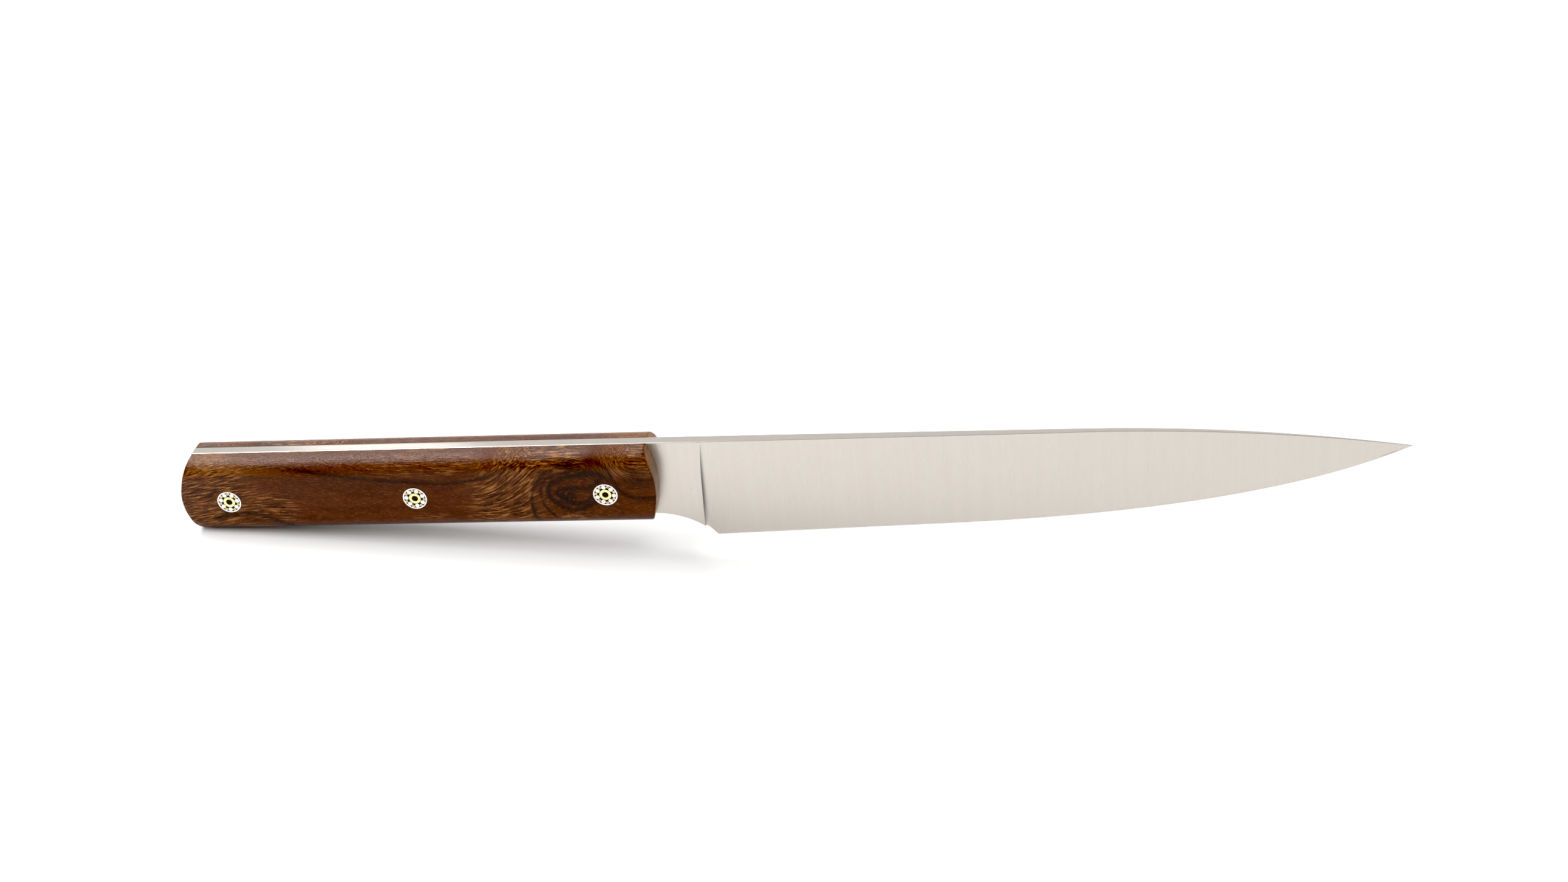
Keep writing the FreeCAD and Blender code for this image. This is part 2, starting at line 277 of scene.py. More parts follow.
def drill_pin_holes(piece, half_length):
    """Cuts the three pin holes through a piece, and keeps only the result."""
    cutters = []
    for x in (-PIN_PITCH, 0, PIN_PITCH):
        bpy.ops.mesh.primitive_cylinder_add(
            vertices=HOLE_SIDES, radius=PIN_HOLE_RADIUS * MM, depth=2 * half_length * MM,
            location=(x * MM, 0, 0), rotation=(math.pi / 2, 0, 0))
        cutter = bpy.context.object
        cutters.append(cutter)
        cut = piece.modifiers.new("hole", "BOOLEAN")
        cut.operation = "DIFFERENCE"
        cut.solver = "EXACT"
        cut.object = cutter
    evaluated = piece.evaluated_get(bpy.context.evaluated_depsgraph_get())
    drilled = bpy.data.meshes.new_from_object(evaluated)
    piece.modifiers.clear()
    piece.data = drilled
    for cutter in cutters:
        bpy.data.objects.remove(cutter)


def near(low, high, start_steps, end_steps, middle):
    """Positions from low to high with given distances at both ends and even steps between them."""
    inner = np.linspace(low + start_steps[-1], high - end_steps[-1], middle + 1)[1:-1]
    return np.concatenate([low + np.array(start_steps), inner, high - np.array(end_steps)[::-1]])


def eased(depth, distance, radius):
    """Takes a rounding off a half width, by the distance from the rim."""
    inside = np.clip(radius - distance, 0, radius)
    return depth - radius + np.sqrt(radius ** 2 - inside ** 2)


# Numbers of columns along the parts of the steel, and how they crowd towards the tip.
TANG_COLUMNS = 40
CHOIL_COLUMNS = 34
HOLLOW_COLUMNS = 13
HEEL_COLUMNS = 5
STRAIGHT_COLUMNS = 30
CURVED_COLUMNS = 70
TIP_CROWDING = 1.6
# Heights of the rows above the edge and below the spine, where the blade is tall enough for all of them.
EDGE_ROWS = [0.25, BEVEL_HEIGHT, 0.8, 1.2, 1.8, 2.6, 3.6]
SPINE_ROWS = [0.4, 1.0]
MIDDLE_ROWS = 17
TALL_ENOUGH = 8
BUTT_SLANT_END_X = -30             # the columns behind this lean more and more like the rear end
SETTLING_ROUNDS = 4                # the rows and the leaning columns are worked out in turns
BEYOND_RIM = 9.0                   # a distance that no rounding reaches
STRIP_STEPS = 4                    # grid steps across the thickness of the steel


def blade_columns():
    """Positions of the columns at the spine, from the butt to the tip."""
    rim = [STEEL_ROUNDING * s for s in ROUND_STEPS]
    plunge_edge = float(plunge_edge_x(SPINE_Z))
    tang = near(BUTT_X, CHOIL_X, rim, [0], TANG_COLUMNS)
    choil = np.linspace(CHOIL_X, plunge_edge, CHOIL_COLUMNS)[1:]
    hollow = np.linspace(plunge_edge, PLUNGE_X, HOLLOW_COLUMNS)[1:]
    heel = np.linspace(PLUNGE_X, HEEL_X, HEEL_COLUMNS)[1:]
    straight = np.linspace(HEEL_X, EDGE_STRAIGHT_END_X, STRAIGHT_COLUMNS)[1:]
    share = 1 - (1 - np.linspace(0, 1, CURVED_COLUMNS)[1:]) ** TIP_CROWDING
    curved = EDGE_STRAIGHT_END_X + (TIP_X - TIP_BLUNT - EDGE_STRAIGHT_END_X) * share
    return np.concatenate([tang, choil, hollow, heel, straight, curved])


def blade_grid():
    """Side grid of the steel: x, z and half thickness at each point."""
    columns = blade_columns()
    low = np.array([STEEL_ROUNDING * s for s in ROUND_STEPS] + EDGE_ROWS)
    high = np.array([STEEL_ROUNDING * s for s in ROUND_STEPS] + SPINE_ROWS)
    rows = len(low) + len(high) + MIDDLE_ROWS
    middle = np.linspace(0, 1, MIDDLE_ROWS + 2)[1:-1]
    x = np.repeat(columns[None, :], rows, 0)
    z = np.zeros_like(x)
    edge_top = float(plunge_edge_x(SPINE_Z))
    for _ in range(SETTLING_ROUNDS):
        for i in range(x.shape[1]):
            top = spine_z(x[:, i])
            bottom = bottom_z(x[:, i])
            height = top - bottom
            scale = np.minimum(1, height / TALL_ENOUGH)
            bevel = np.minimum(BEVEL_HEIGHT, height / BEVEL_PART)
            for j in range(rows):
                if j < len(low):
                    rise = bevel[j] if low[j] == BEVEL_HEIGHT else low[j] * scale[j]
                elif j >= rows - len(high):
                    rise = height[j] - high[rows - 1 - j] * scale[j]
                else:
                    start = low[-1] * scale[j]
                    rise = start + (height[j] - high[-1] * scale[j] - start) * middle[j - len(low)]
                z[j, i] = bottom[j] + rise
        for i, place in enumerate(columns):
            if place <= BUTT_SLANT_END_X:
                share = (place - BUTT_X) / (BUTT_SLANT_END_X - BUTT_X)
                x[:, i] = butt_x(z[:, i]) + share * (BUTT_SLANT_END_X - butt_x(z[:, i]))
                if i < len(ROUND_STEPS):
                    x[:, i] = butt_x(z[:, i]) + STEEL_ROUNDING * ROUND_STEPS[i]
            elif CHOIL_X < place < HEEL_X:
                edge = plunge_edge_x(z[:, i])
                foot = plunge_foot_x(z[:, i])
                known = [CHOIL_X, edge_top, PLUNGE_X, HEEL_X]
                for j in range(rows):
                    x[j, i] = np.interp(place, known, [CHOIL_X, edge[j], foot[j], HEEL_X])
    half = steel_half(x, z)
    rounding = np.minimum(STEEL_ROUNDING, half * 0.5)
    from_rim = np.minimum(spine_z(x) - z, np.where(x < CHOIL_X, x - butt_x(z), BEYOND_RIM))
    thick_low = np.clip((half - THIN_EDGE) / THIN_EDGE, 0, 1)
    from_rim = np.minimum(from_rim, (z - bottom_z(x)) + BEYOND_RIM * (1 - thick_low))
    half = eased(half, np.maximum(from_rim, 0), np.maximum(rounding, 1e-6))
    return x, z, np.maximum(half, 0)


def strip_between(x, z, half):
    """A grid across the thickness, along one border of the side grid."""
    across = np.linspace(-1, 1, STRIP_STEPS + 1)
    return np.stack([np.stack([x, half * a, z], -1) for a in across])


def make_blade():
    x, z, half = blade_grid()
    right = np.stack([x, -half, z], -1)
    left = np.stack([x, half, z], -1)
    patches = [(right, False), (left, True)]
    for border in (np.s_[0, :], np.s_[-1, :], np.s_[:, 0], np.s_[:, -1]):
        patches.append((strip_between(x[border], z[border], half[border]), False))
    piece = build_mesh("blade_body", patches)
    drill_pin_holes(piece, 3 * TANG_HALF)
    mesh = piece.data
    mesh.shade_smooth()
    mesh.set_sharp_from_angle(angle=CREASE)
    co = np.array([v.co for v in mesh.vertices]) / MM
    above_edge = co[:, 2] - edge_z(co[:, 0])
    on_crisp = np.abs(co[:, 0] - plunge_edge_x(co[:, 2])) < ON_LINE
    on_shoulder = (np.abs(above_edge - BEVEL_HEIGHT) < ON_LINE) & (co[:, 0] > HEEL_X - 0.5)
    on_edge = (np.abs(above_edge) < ON_LINE) & (co[:, 0] > HEEL_X - 0.01)
    sharp = mesh.attributes.get("sharp_edge") or mesh.attributes.new("sharp_edge", "BOOLEAN", "EDGE")
    for edge in mesh.edges:
        a, b = edge.vertices
        if any(line[a] and line[b] for line in (on_crisp, on_shoulder, on_edge)):
            sharp.data[edge.index].value = True
    paint_hollow_reflection(mesh, co)
    return piece


STREAK_WIDTH = 0.62                # the painted dark reflection in the plunge, as a share of the hollow's width
STREAK_TONE = 0.95
STREAK_REACH = 1.15                # above 1, the streak ends before it comes down to the heel
STREAK_POWER = 0.6                 # below 1, it stays dark for longer and then fades fast at both ends


def paint_hollow_reflection(mesh, co):
    """A dark streak in the hollow of the plunge, in place of a dark reflection; darkest at its edge."""
    edge = plunge_edge_x(co[:, 2])
    foot = plunge_foot_x(co[:, 2])
    share = (co[:, 0] - edge) / (foot - edge)
    depth = (co[:, 2] - SPINE_Z) / (HEEL_Z - SPINE_Z)
    streak = np.where((share > 0.01) & (share < 1), np.exp(-(share / STREAK_WIDTH) ** 2), 0)
    along = np.clip(np.sin(math.pi * np.clip(depth * STREAK_REACH, 0, 1)), 0, 1)
    streak *= STREAK_TONE * along ** STREAK_POWER
    # the painted dark reflection is kept on the mesh for the steel's colour
    marks = mesh.attributes.new("painted_hollow_reflection", "FLOAT_VECTOR", "POINT")
    values = np.stack([streak, streak, streak], -1)
    marks.data.foreach_set("vector", values.astype(np.float32).ravel())


# ---- handle scales --------------------------------------------------------------------------------

ARC_ROWS = 19
FLAT_ROWS = 4
FACE_ROWS = 36
SCALE_COLUMNS = 330
SLOPE_STEP = 0.02                  # height over which the slope of an end wall is measured
SCALE_MERGE = 0.002


def scale_section():
    """The right scale's section, from its inner top corner to its inner bottom one: y, z and normal."""
    outer = -HANDLE_HALF
    arc_y = outer + SCALE_EDGE_RADIUS
    high = SPINE_Z - SCALE_EDGE_RADIUS
    low = BELLY_Z + SCALE_EDGE_RADIUS
    turn = np.linspace(0, math.pi / 2, ARC_ROWS)
    flat_y = np.linspace(-SCALE_INNER, arc_y, FLAT_ROWS)[:-1]
    face_z = np.linspace(high, low, FACE_ROWS)[1:-1]
    top = [(y, SPINE_Z, 0, 1) for y in flat_y]
    top_arc = [(arc_y - SCALE_EDGE_RADIUS * math.sin(a), high + SCALE_EDGE_RADIUS * math.cos(a),
                -math.sin(a), math.cos(a)) for a in turn]
    face = [(outer, z, -1, 0) for z in face_z]
    low_arc = [(arc_y - SCALE_EDGE_RADIUS * math.cos(a), low - SCALE_EDGE_RADIUS * math.sin(a),
                -math.cos(a), -math.sin(a)) for a in turn]
    bottom = [(y, BELLY_Z, 0, -1) for y in flat_y[::-1]]
    return np.array(top + top_arc + face + low_arc + bottom), len(flat_y)


def end_slope(end, z):
    """Upward part of the outward normal of an end wall of the scales, at height z."""
    slope = (end(z + SLOPE_STEP / 2) - end(z - SLOPE_STEP / 2)) / SLOPE_STEP
    side = -1 if end is butt_x else 1
    return -side * slope / np.sqrt(1 + slope ** 2)


def rounding_inset(radius, distance):
    """How far a rounding draws the surface in, at a distance from the end wall."""
    return radius - np.sqrt(np.maximum(radius ** 2 - np.clip(radius - distance, 0, None) ** 2, 0))


def scale_patches():
    section, flat = scale_section()
    y, z, ny, nz = section.T
    ends = []
    for end in (butt_x, front_x):
        wall_nz = end_slope(end, np.clip(z, BELLY_Z + SLOPE_STEP, SPINE_Z - SLOPE_STEP))
        facing = np.clip(nz * wall_nz, 0, 1)
        ends.append(WOOD_ROUNDING * np.sqrt(1 - facing ** 2))
    steps = [WOOD_ROUNDING * s for s in ROUND_STEPS]
    shares = np.linspace(0, 1, SCALE_COLUMNS)[1:-1]
    columns = []
    for distance in steps:
        columns.append((rounding_inset(ends[0], distance), "butt", distance))
    columns += [(0 * z, "middle", s) for s in shares]
    for distance in steps[::-1]:
        columns.append((rounding_inset(ends[1], distance), "front", distance))
    points = []
    for inset, where, amount in columns:
        py = np.where(np.abs(ny) > 0, y - inset * ny, y)
        py = np.minimum(py, -SCALE_INNER)
        pz = z - inset * nz
        start = butt_x(pz)
        stop = front_x(pz)
        if where == "butt":
            px = start + amount
        elif where == "front":
            px = stop - amount
        else:
            px = start + WOOD_ROUNDING + amount * (stop - start - 2 * WOOD_ROUNDING)
        points.append(np.stack([px, py, pz], -1))
    outer = np.stack(points, 1)
    patches = [(outer, False)]
    wall_rows = slice(flat, len(y) - flat)
    walls = []
    for column, end in ((0, butt_x), (-1, front_x)):
        rim = outer[wall_rows, column]
        rungs = []
        for i in range(len(rim)):
            if i == 0:
                rung = outer[:flat + 1, column][::-1]
            elif i == len(rim) - 1:
                rung = outer[len(y) - flat - 1:, column]
            else:
                share = np.linspace(0, 1, flat + 1)[:, None]
                rung = rim[i] + share * (np.array([rim[i, 0], -SCALE_INNER, rim[i, 2]]) - rim[i])
            rungs.append(rung)
        wall = np.stack(rungs)
        walls.append(wall)
        patches.append((wall, False))
    first = walls[0][:, -1]
    last = walls[1][:, -1]
    inside = first[:, None] + np.linspace(0, 1, outer.shape[1])[None, :, None] * (last - first)[:, None]
    inside[0] = outer[0]
    inside[-1] = outer[-1]
    patches.append((inside, True))
    return patches


def make_scale(name, side):
    patches = scale_patches()
    if side > 0:
        patches = [(points * np.array([1, -1, 1]), not flip) for points, flip in patches]
    piece = build_mesh(name, patches, merge=SCALE_MERGE)
    drill_pin_holes(piece, 2 * HANDLE_HALF)
    mesh = piece.data
    mesh.shade_smooth()
    mesh.set_sharp_from_angle(angle=CREASE)
    return piece


# ---- wood figure ----------------------------------------------------------------------------------

def ramp(low, high, v):
    t = np.clip((v - low) / (high - low), 0, 1)
    return t * t * (3 - 2 * t)


def soft_over(v):
    """A smooth version of max(v, 0)."""
    return np.logaddexp(0, v)


LIFT = 4.1
ARCH = (1.36, -2, 8)               # rise of the layers towards the butt: per softness, from x, softness
BUTT_FALL = (2.05, -38, 5)         # their fall over the rear pin, given the same way
VALLEY_RISE = (8.0, 14, 34)        # rise in front of the middle pin: amount, first x, last x
KNOT_FALL = (13.3, 43, 55)         # fall in front of the knot, given the same way


def layer_height(x, z):
    """How far the growth layers are lifted: an arch near the butt, a valley, and a rise over the knot."""
    lift = LIFT
    for sign, (amount, start, softness) in ((1, ARCH), (-1, BUTT_FALL)):
        lift = lift + sign * amount * soft_over((start - x) / softness)
    steep = np.clip((z + 9) / 15, 0.12, 1.3)
    rise = VALLEY_RISE[0] * ramp(*VALLEY_RISE[1:], x) - KNOT_FALL[0] * ramp(*KNOT_FALL[1:], x)
    return lift + steep * rise


# Dark growth lines on the side of the right scale: control points (x, z), half width and depth of tone.
DARK_LINES = [
    ([(-37, 9.6), (-33, 9.1), (-27, 8.2), (-19, 7.0), (-12, 6.0)], 0.85, 0.75),
    ([(-19, 7.0), (-12, 6.0), (-6, 5.2), (7, 4.3), (15, 4.9), (21, 6.3), (24.5, 7.8), (27, 9.2)],
     0.60, 0.80),
    ([(-62, 4.4), (-55, 6.2), (-48, 7.4), (-38, 7.0), (-30, 5.6)], 0.9, 0.35),
    ([(-52, -4.6), (-44, -3.3), (-38.5, -4.5), (-34, -7.2), (-31, -10)], 0.95, 0.75),
    ([(31, -11), (29.6, -6), (29.2, -2), (30.2, 2), (32, 4.9), (34.8, 7.2), (39.5, 8.6)], 0.62, 0.80),
    ([(34.5, -6), (32.4, -3), (31.7, 0), (32.4, 3.2), (34.6, 5.5), (39, 6.6)], 0.52, 0.72),
    ([(45.5, -1.8), (42.4, -3.6), (39, -4.2), (35.6, -2.4), (33.8, 0.3), (34.4, 3), (37, 4.7), (41, 5.6),
      (45, 6.4)],
     0.82, 0.88),
    ([(45, 6.4), (47.4, 5.6), (46.4, 3.6), (43, 1.9), (39, 1.9), (36, 1.0), (38, -1.6), (41.5, -2.6),
      (44.5, -0.6)],
     0.78, 0.85),
    ([(36, 3.6), (39, 5.2), (42, 5.9), (45.5, 6.2), (48, 5.0), (48.6, 2.6)], 1.00, 0.72),
    ([(44, 9.4), (46.5, 9.0), (48.9, 7.2), (50.2, 3.6), (51.8, 0.5), (54.5, -1.0), (58, -1.3),
      (62, -0.8)], 0.75, 0.78),
    ([(47, -5.4), (48.6, -3.6), (50.7, -4.0), (51.2, -5.8), (49, -7.4), (47.2, -6.4), (47, -5.4)],
     0.45, 0.45),
    ([(33, -6.8), (36, -5.9), (40, -6.2), (44, -5.2)], 0.4, 0.45),
]
LINE_HALO = (2.6, 0.35)            # each has a soft halo: times its width, and share of its tone
TOP_FADE = (0.8, 8.2, 10.4)        # the lines fade over the rounded top edge: amount, first z, last z
LEFT_LINE_SHARE = 0.6              # the lines are fainter on the left scale
BUTT_RIM_PAINTED_REFLECTION = (0.22, 0.8)        # width and depth of the painted dark reflection round the rear end's rounded rim
# Soft dark or light clouds: centre (x, z), half sizes along x and z, and amount (dark positive).
CLOUDS = [
    (56.4, 3.8, 4.6, 2.6, 0.70),
    (40.5, 8.4, 5.5, 2.2, 0.55),
    (41.0, 1.0, 9.0, 6.0, 0.48),
    (38.2, -0.6, 2.8, 1.8, 0.75),
    (-22.0, 4.6, 34.0, 3.0, 0.30),
    (-55.0, 4.0, 5.0, 2.0, 0.35),
    (44.5, 5.6, 4.0, 1.2, 0.45),
    (-42.0, -8.8, 5.0, 1.2, -0.55),
    (41.4, 3.5, 3.2, 0.9, -0.45),
    (41.8, -0.2, 2.0, 0.9, -0.55),
    (30.6, 0.4, 0.8, 5.0, -0.25),
    (-47.0, 0.0, 10.0, 6.5, -0.18),
    (-52.0, 9.5, 6.0, 2.5, -0.35),
    (-20.0, 10.5, 26.0, 1.6, -0.10),
    (-41.0, 7.8, 13.0, 1.8, -0.30),
]
# Where the bright fibres show: centre (x, z), half sizes, amount.
BRIGHT_ZONES = [
    (-54.0, 1.0, 14.0, 9.5, 1.0),
    (-38.0, -2.0, 8.0, 4.6, 0.8),
    (4.0, 8.3, 20.0, 2.2, 0.45),
    (22.5, -2.0, 9.5, 9.0, 0.9),
    (27.0, 7.2, 6.5, 4.5, 1.0),
    (35.0, 11.0, 8.0, 4.0, 0.9),
    (53.5, 8.8, 7.0, 4.2, 0.8),
    (39.0, -6.6, 6.5, 1.8, 0.7),
    (4.0, -6.0, 7.0, 1.6, 0.45),
]
FRONT_END_TONE = -0.80             # the front end face of each scale is made lighter
END_WALL = 0.02                    # a vertex this near to the front end lies on it
LEFT_TURN_X = 4.0                  # the left scale's figure is turned end for end about half this x
LAYER_LEAN = 0.22                  # how far the figure rises per millimetre below the side face
GRAIN_LEAN = 0.4                   # and how far the fibres shift along the handle


def smooth_line(points, per_span=8):
    """A Catmull-Rom curve through the control points."""
    p = np.array(points, float)
    p = np.vstack([2 * p[0] - p[1], p, 2 * p[-1] - p[-2]])
    curve = []
    for i in range(1, len(p) - 2):
        for t in np.linspace(0, 1, per_span, endpoint=False):
            a, b, c, d = p[i - 1:i + 3]
            curve.append(0.5 * (2 * b + (c - a) * t + (2 * a - 5 * b + 4 * c - d) * t ** 2
                                + (3 * b - a - 3 * c + d) * t ** 3))
    curve.append(p[-2])
    return np.array(curve)


def distance_to_line(x, z, line):
    best = np.full(x.shape, 1e9)
    for (ax, az), (bx, bz) in zip(line[:-1], line[1:]):
        dx, dz = bx - ax, bz - az
        t = np.clip(((x - ax) * dx + (z - az) * dz) / max(dx * dx + dz * dz, 1e-9), 0, 1)
        best = np.minimum(best, np.hypot(x - ax - t * dx, z - az - t * dz))
    return best


def paint_figure(piece, side):
    """Gives each point its place in the grain, and how dark and how bright-fibred the wood is there; the
    darkness includes a painted dark reflection round the rear rim.
    """
    mesh = piece.data
    co = np.array([v.co for v in mesh.vertices]) / MM
    x, y, z = co.T
    depth = HANDLE_HALF - np.abs(y)
    fx = x if side < 0 else LEFT_TURN_X - x
    fz = z - LAYER_LEAN * depth
    wander = 0.30 * np.sin(fx / 9.3 + fz / 5.1) + 0.12 * np.sin(fx / 4.1 - fz / 2.7 + 1.3)
    lift = layer_height(fx, fz)
    grain = np.stack([fx + GRAIN_LEAN * depth, fz - lift + wander, y], -1)
    dark = np.zeros_like(fx)
    for points, width, tone in DARK_LINES:
        far = distance_to_line(fx, fz + 0.5 * wander, smooth_line(points))
        dark = np.maximum(dark, tone * np.exp(-(far / width) ** 2))
        dark = np.maximum(dark, LINE_HALO[1] * tone * np.exp(-(far / (LINE_HALO[0] * width)) ** 2))
    dark *= 1 - TOP_FADE[0] * ramp(*TOP_FADE[1:], z)
    if side > 0:
        dark *= LEFT_LINE_SHARE
    # a painted dark reflection along the rounded rim of the rear end
    rim_width, rim_depth = BUTT_RIM_PAINTED_REFLECTION
    dark = np.maximum(dark, rim_depth * np.exp(-((x - butt_x(z)) / rim_width) ** 2))
    cloud = np.zeros_like(fx)
    for cx, cz, ax, az, amount in CLOUDS:
        cloud += amount * np.exp(-((fx - cx) / ax) ** 2 - ((fz - cz) / az) ** 2)
    cloud += FRONT_END_TONE * (np.abs(x - front_x(z)) < END_WALL)
    bright = np.zeros_like(fx)
    for cx, cz, ax, az, amount in BRIGHT_ZONES:
        bright = np.maximum(bright, amount * np.exp(-((fx - cx) / ax) ** 4 - ((fz - cz) / az) ** 4))
    figure = np.stack([dark, bright, np.clip(0.5 + 0.5 * cloud, 0, 1)], -1)
    for name, values in (("grain", grain), ("figure", figure)):
        layer = mesh.attributes.new(name, "FLOAT_VECTOR", "POINT")
        layer.data.foreach_set("vector", values.astype(np.float32).ravel())


# ---- materials ------------------------------------------------------------------------------------

class Nodes:
    """A short way to build a material's nodes."""

    def __init__(self, name):
        self.material = bpy.data.materials.new(name)
        self.material.use_nodes = True
        self.tree = self.material.node_tree
        self.shader = self.tree.nodes["Principled BSDF"]

    def add(self, kind, settings=None, **inputs):
        node = self.tree.nodes.new(kind)
        for key, value in (settings or {}).items():
            setattr(node, key, value)
        for key, value in inputs.items():
            self.feed(node.inputs[key.replace("_", " ")], value)
        return node

    def feed(self, socket, value):
        if isinstance(value, bpy.types.NodeSocket):
            self.tree.links.new(value, socket)
        else:
            socket.default_value = value

    def attribute(self, name):
        return self.add("ShaderNodeAttribute", {"attribute_name": name}).outputs["Vector"]

    def coordinates(self):
        return self.add("ShaderNodeTexCoord").outputs["Object"]

    def stretched(self, vector, scale, offset=(0, 0, 0)):
        node = self.add("ShaderNodeMapping", Vector=vector)
        node.inputs["Scale"].default_value = scale
        node.inputs["Location"].default_value = offset
        return node.outputs["Vector"]

    def noise(self, vector, detail=2.0, roughness=0.5, output="Fac"):
        node = self.add("ShaderNodeTexNoise", Vector=vector, Scale=1.0, Detail=detail,
                        Roughness=roughness)
        return node.outputs[output]

    def math(self, operation, a, b=0.0, clamp=False):
        node = self.add("ShaderNodeMath", {"operation": operation, "use_clamp": clamp})
        self.feed(node.inputs[0], a)
        self.feed(node.inputs[1], b)
        return node.outputs[0]

    def band(self, value, low, high, to_low=0.0, to_high=1.0):
        """Smoothly maps low..high to to_low..to_high."""
        node = self.add("ShaderNodeMapRange", {"interpolation_type": "SMOOTHSTEP"})
        self.feed(node.inputs["Value"], value)
        limits = {"From Min": low, "From Max": high, "To Min": to_low, "To Max": to_high}
        for key, amount in limits.items():
            node.inputs[key].default_value = amount
        return node.outputs["Result"]

    def mix(self, share, a, b):
        node = self.add("ShaderNodeMix", {"data_type": "RGBA"})
        self.feed(node.inputs[0], share)
        self.feed(node.inputs[6], a)
        self.feed(node.inputs[7], b)
        return node.outputs[2]

    def split(self, vector):
        return self.add("ShaderNodeSeparateXYZ", Vector=vector).outputs

    def bump(self, height, strength, distance, normal=None):
        node = self.add("ShaderNodeBump", Height=height, Strength=strength, Distance=distance)
        if normal is not None:
            self.feed(node.inputs["Normal"], normal)
        return node.outputs["Normal"]

    def finish(self, **inputs):
        for key, value in inputs.items():
            self.feed(self.shader.inputs[key.replace("_", " ")], value)
        return self.material


def rgb(red, green, blue):
    """A linear colour from the numbers 0 to 255 that a screen shows."""
    linear = [((c / 255 + 0.055) / 1.055) ** 2.4 if c > 10 else c / 255 / 12.92
              for c in (red, green, blue)]
    return (*linear, 1)


# Colours of the wood, darker first where there are two.
WOOD_PLAIN = ((0.050, 0.0100, 0.0012, 1), (0.078, 0.0190, 0.0032, 1))
WOOD_BRIGHT = (0.120, 0.040, 0.010, 1)
CLOUD_TONES = ((0.018, 0.006, 0.003, 1), (0.27, 0.125, 0.040, 1))
STROKE_TONES = ((0.018, 0.0045, 0.001, 1), (0.30, 0.128, 0.040, 1))
FIBRE_TONES = ((0.020, 0.005, 0.002, 1), (0.30, 0.12, 0.035, 1))
SPECK_TONE = (0.32, 0.14, 0.06, 1)
# colour of the dark grain lines, also used for the painted dark reflection round the rear rim
LINE_TONE = (0.014, 0.0055, 0.003, 1)
RAGGEDNESS = 1.3                   # of the edges of the dark lines
# Depth of the relief in metres: strokes and fibres, and the finish over them.
RELIEF_DEPTH = 0.00018
PEEL_DEPTH = 0.00010
PEEL_STRENGTH = 0.6
PEEL_SCALE = 2400
WOOD_SPECULAR = 0.27


def wood_material(name, seed):
    """Brown wood whose noise is stretched along the grain that paint_figure has marked on the mesh."""
    n = Nodes(name)
    grain = n.attribute("grain")
    figure = n.split(n.attribute("figure"))
    dark, bright, cloud = figure[0], figure[1], figure[2]
    wander = n.noise(n.stretched(grain, (0.05, 0.20, 0.20), (seed, 0, 0)), detail=1.0, output="Color")
    warp = n.add("ShaderNodeVectorMath", {"operation": "MULTIPLY_ADD"})
    warp.inputs[1].default_value = (0.0, 0.8, 0.8)
    n.feed(warp.inputs[0], wander)
    n.feed(warp.inputs[2], grain)
    flow = warp.outputs["Vector"]
    strokes = n.noise(n.stretched(flow, (0.26, 3.0, 3.0), (seed, 3, 1)), detail=3.0, roughness=0.6)
    fibres = n.noise(n.stretched(flow, (0.8, 8.0, 8.0), (seed, 7, 2)), detail=2.0, roughness=0.6)
    ragged = n.noise(n.stretched(flow, (0.9, 1.6, 1.6), (seed, 5, 9)), detail=3.0, roughness=0.65)
    mottle = n.noise(n.stretched(flow, (0.08, 0.5, 0.5), (seed, 1, 5)), detail=4.0, roughness=0.6)
    specks = n.noise(n.stretched(flow, (1.6, 5.0, 5.0), (seed, 11, 4)), detail=1.0)
    tone = n.mix(n.band(mottle, 0.3, 0.7), *WOOD_PLAIN)
    tone = n.mix(n.band(bright, 0.0, 1.0, 0.0, 0.55), tone, WOOD_BRIGHT)
    tone = n.mix(n.band(cloud, 0.5, 1.0), tone, CLOUD_TONES[0])
    tone = n.mix(n.band(cloud, 0.5, 0.0), tone, CLOUD_TONES[1])
    dark_strokes = n.math("MULTIPLY", n.band(strokes, 0.485, 0.425), n.band(bright, 0.0, 1.0, 0.10, 0.96))
    tone = n.mix(dark_strokes, tone, STROKE_TONES[0])
    gold_strokes = n.math("MULTIPLY", n.band(strokes, 0.545, 0.61), n.band(bright, 0.0, 1.0, 0.03, 0.88))
    tone = n.mix(gold_strokes, tone, STROKE_TONES[1])
    tone = n.mix(n.band(fibres, 0.56, 0.68, 0.0, 0.30), tone, FIBRE_TONES[1])
    tone = n.mix(n.band(fibres, 0.44, 0.34, 0.0, 0.45), tone, FIBRE_TONES[0])
    tone = n.mix(n.band(specks, 0.70, 0.80, 0.0, 0.35), tone, SPECK_TONE)
    # the dark lines include the painted dark reflection round the rear rim
    edge = n.math("MULTIPLY", n.math("SUBTRACT", ragged, 0.5), RAGGEDNESS)
    core = n.band(n.math("ADD", dark, edge), 0.05, 0.95)
    lines = n.math("MULTIPLY", core, n.band(dark, 0.0, 0.5, 0.0, 0.88), True)
    tone = n.mix(lines, tone, LINE_TONE)
    relief = n.math("ADD", n.math("MULTIPLY", strokes, 0.6), n.math("MULTIPLY", fibres, 0.4))
    peel = n.noise(n.stretched(n.coordinates(), (PEEL_SCALE, PEEL_SCALE, PEEL_SCALE)), detail=1.0)
    normal = n.bump(relief, 1.0, RELIEF_DEPTH, n.bump(peel, PEEL_STRENGTH, PEEL_DEPTH))
    n.finish(Base_Color=tone, Roughness=n.band(fibres, 0.2, 0.8, 0.23, 0.15), Normal=normal)
    n.shader.inputs["Specular IOR Level"].default_value = WOOD_SPECULAR
    return n.material


GRIND_SCALE = (7000, 400, 70)
WIDE_SCALE = (420, 60, 9)
STEEL_TONES = ((0.545, 0.506, 0.463, 1), (0.557, 0.518, 0.474, 1))
GRIND_TONE = (0.61, 0.566, 0.515, 1)
